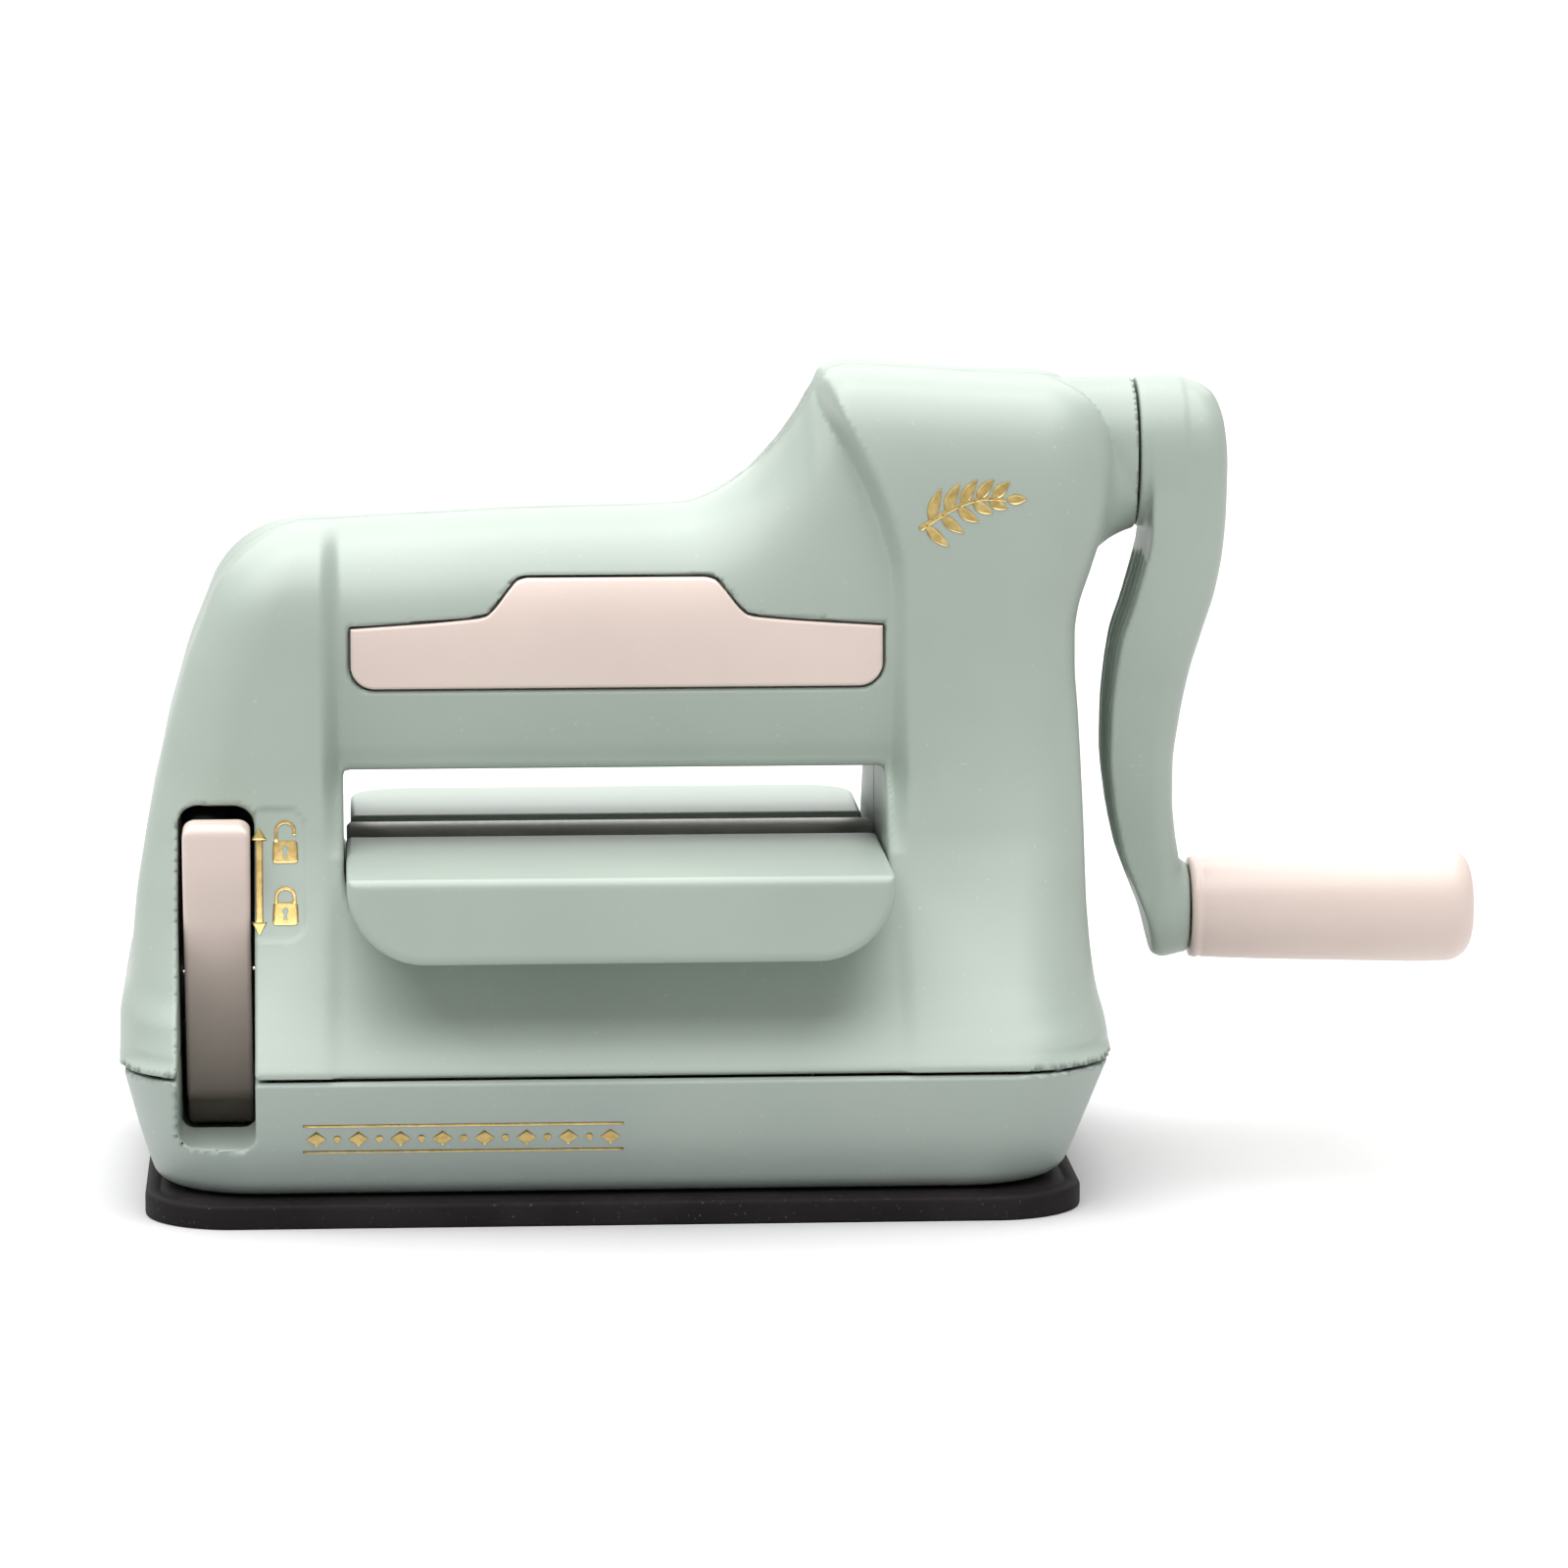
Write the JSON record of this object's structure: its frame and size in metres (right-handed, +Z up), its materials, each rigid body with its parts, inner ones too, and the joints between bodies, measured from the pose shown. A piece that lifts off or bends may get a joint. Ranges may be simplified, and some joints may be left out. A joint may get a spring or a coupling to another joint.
{
  "type": "die cutting machine",
  "caption": "Compact hand-cranked die cutting and embossing machine with two geared rollers, feed trays and a lever suction base.",
  "frame": {"origin": "centre line of the machine on the underside of the rubber mat, under the middle of the base", "axes": "+X towards the crank, -Y towards the user and the front tray, +Z up"},
  "size_m": [0.2312, 0.113, 0.1376],
  "materials": {
    "housing_plastic": "pale grey-green moulded plastic, fine satin grain",
    "base_plastic": "grey-green moulded plastic, satin, slightly bluer than the housing",
    "cream_plastic": "warm cream moulded plastic, satin",
    "rubber": "black rubber with a dull, slightly dusty surface",
    "roller_steel": "dark ground steel",
    "plate_steel": "stamped steel plate",
    "bronze": "sintered bronze",
    "nylon": "natural nylon",
    "zinc": "zinc-plated steel",
    "gold_print": "gold hot-foil print"
  },
  "bodies": {
    "body": {"front_housing": "housing_plastic", "rear_housing": "housing_plastic", "cover_panel": "cream_plastic", "base_shell": "base_plastic", "suction_mat": "rubber", "front_tray": "housing_plastic", "rear_tray": "housing_plastic", "side_frame_left": "plate_steel", "side_frame_right": "plate_steel", "tie_bar_front_low": "zinc", "tie_bar_rear_low": "zinc", "tie_bar_front_high": "zinc", "tie_bar_rear_high": "zinc", "lower_bush_left": "bronze", "upper_bush_left": "bronze", "lower_bush_right": "bronze", "upper_bush_right": "bronze", "crank_bush_inner": "bronze", "crank_bush_outer": "bronze", "idler_pin": "zinc", "base_screw_1": "zinc", "base_screw_2": "zinc", "base_screw_3": "zinc", "base_screw_4": "zinc", "base_screw_5": "zinc", "base_screw_6": "zinc", "base_screw_7": "zinc", "housing_screw_1": "zinc", "housing_screw_2": "zinc", "housing_screw_3": "zinc", "housing_screw_4": "zinc", "housing_screw_5": "zinc"},
    "crank": {"crank_shaft": "zinc", "crank_pinion": "zinc", "crank_arm": "housing_plastic", "crank_screw": "zinc", "grip_pin": "zinc"},
    "grip": {"crank_grip": "cream_plastic"},
    "idler": {"idler_gear": "zinc"},
    "upper_roller": {"upper_roller": "roller_steel", "upper_roller_gear": "zinc", "upper_roller_clip": "zinc"},
    "lower_roller": {"lower_roller": "roller_steel", "lower_roller_gear": "zinc", "lower_roller_clip": "zinc"},
    "suction_lever": {"suction_lever": "cream_plastic", "lever_shaft": "zinc", "suction_cam": "zinc"},
    "lift_plate": {"lift_plate": "nylon", "lift_stem": "nylon"}
  },
  "joints": [
    {"name": "crank_turn", "type": "hinge", "parent": "body", "child": "crank", "pos_m": [0.05, 0, 0.1218], "axis": [1, 0, 0], "continuous": true},
    {"name": "grip_spin", "type": "hinge", "parent": "crank", "child": "grip", "pos_m": [0.12, 0, 0.0431], "axis": [1, 0, 0], "continuous": true},
    {"name": "idler_spin", "type": "hinge", "parent": "body", "child": "idler", "pos_m": [0.06, 0, 0.1037], "axis": [1, 0, 0], "continuous": true},
    {"name": "upper_roller_spin", "type": "hinge", "parent": "body", "child": "upper_roller", "pos_m": [0, 0, 0.0796], "axis": [1, 0, 0], "continuous": true},
    {"name": "lower_roller_spin", "type": "hinge", "parent": "body", "child": "lower_roller", "pos_m": [0, 0, 0.048], "axis": [1, 0, 0], "continuous": true},
    {"name": "suction_lever_swing", "type": "hinge", "parent": "body", "child": "suction_lever", "pos_m": [-0.06745, -0.008, 0.016], "axis": [1, 0, 0], "range_deg": [0, 26]},
    {"name": "plate_lift", "type": "slide", "parent": "body", "child": "lift_plate", "axis": [0, 0, 1], "range_m": [0, 0.0036]}
  ],
  "couplings": [
    {"joint": "idler_spin", "follows": "crank_turn", "ratio": -0.71429},
    {"joint": "upper_roller_spin", "follows": "crank_turn", "ratio": 0.37415},
    {"joint": "lower_roller_spin", "follows": "crank_turn", "ratio": -0.37415},
    {"joint": "plate_lift", "follows": "suction_lever_swing", "m_per_rad": 0.00773}
  ]
}
